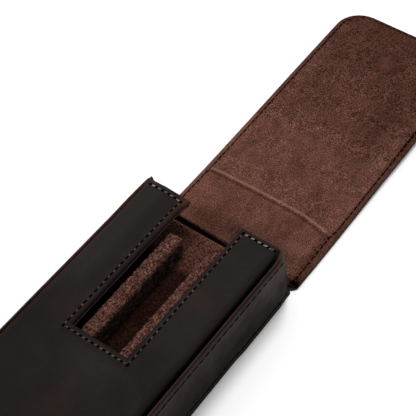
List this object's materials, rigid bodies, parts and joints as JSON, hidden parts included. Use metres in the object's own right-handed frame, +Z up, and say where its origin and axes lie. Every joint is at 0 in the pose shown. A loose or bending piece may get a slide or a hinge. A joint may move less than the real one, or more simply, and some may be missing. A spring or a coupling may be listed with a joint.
{
  "type": "pen case",
  "caption": "Hard leather pen case with a fold-over magnetic flap, a thumb notch in its front and a sliding suede tray with slots for pens.",
  "frame": {"origin": "middle of the case's underside, on the surface that it lies on", "axes": "+X to the case's right seen from its foot, +Y from the foot to the mouth and on along the open flap, +Z up through the front panel"},
  "size_m": [0.089, 0.384, 0.0446],
  "materials": {
    "leather_dark": "matte waxed pull-up leather, near-black brown",
    "suede_brown": "brushed suede, warm brown",
    "board_grey": "matte solid grey board",
    "foam_padding": "matte dense foam or felt padding",
    "magnet_nickel": "satin nickel plating"
  },
  "bodies": {
    "case": {"back_panel": "leather_dark", "back_board": "board_grey", "back_lining": "suede_brown", "gusset": "leather_dark", "side_board_left": "foam_padding", "side_board_right": "foam_padding", "foot_board": "foam_padding", "side_lining_left": "suede_brown", "side_lining_right": "suede_brown", "foot_lining": "suede_brown", "front_panel": "leather_dark", "front_board": "board_grey", "front_lining": "suede_brown", "front_magnet": "magnet_nickel"},
    "spine": {"spine_leather": "leather_dark", "spine_board": "board_grey", "spine_lining": "suede_brown"},
    "cover": {"cover_leather": "leather_dark", "cover_board": "board_grey", "cover_lining": "suede_brown", "cover_magnet": "magnet_nickel"},
    "tray": {"tray_cover": "suede_brown", "tray_base": "board_grey", "tray_core": "foam_padding", "end_block": "suede_brown", "rail_left_cover": "suede_brown", "rail_left_core": "board_grey", "rail_right_cover": "suede_brown", "rail_right_core": "board_grey", "divider_left_cover": "suede_brown", "divider_left_core": "board_grey", "divider_right_cover": "suede_brown", "divider_right_core": "board_grey"}
  },
  "joints": [
    {"name": "flap_hinge", "type": "hinge", "parent": "case", "child": "spine", "pos_m": [0, 0.0957, 0.0033], "axis": [1, 0, 0], "range_deg": [0, 90]},
    {"name": "flap_fold", "type": "hinge", "parent": "spine", "child": "cover", "pos_m": [0, 0.1383, 0.0033], "axis": [1, 0, 0], "range_deg": [0, 88.3]},
    {"name": "tray_slide", "type": "slide", "parent": "case", "child": "tray", "axis": [0, 1, 0], "range_m": [0, 0.012]}
  ]
}
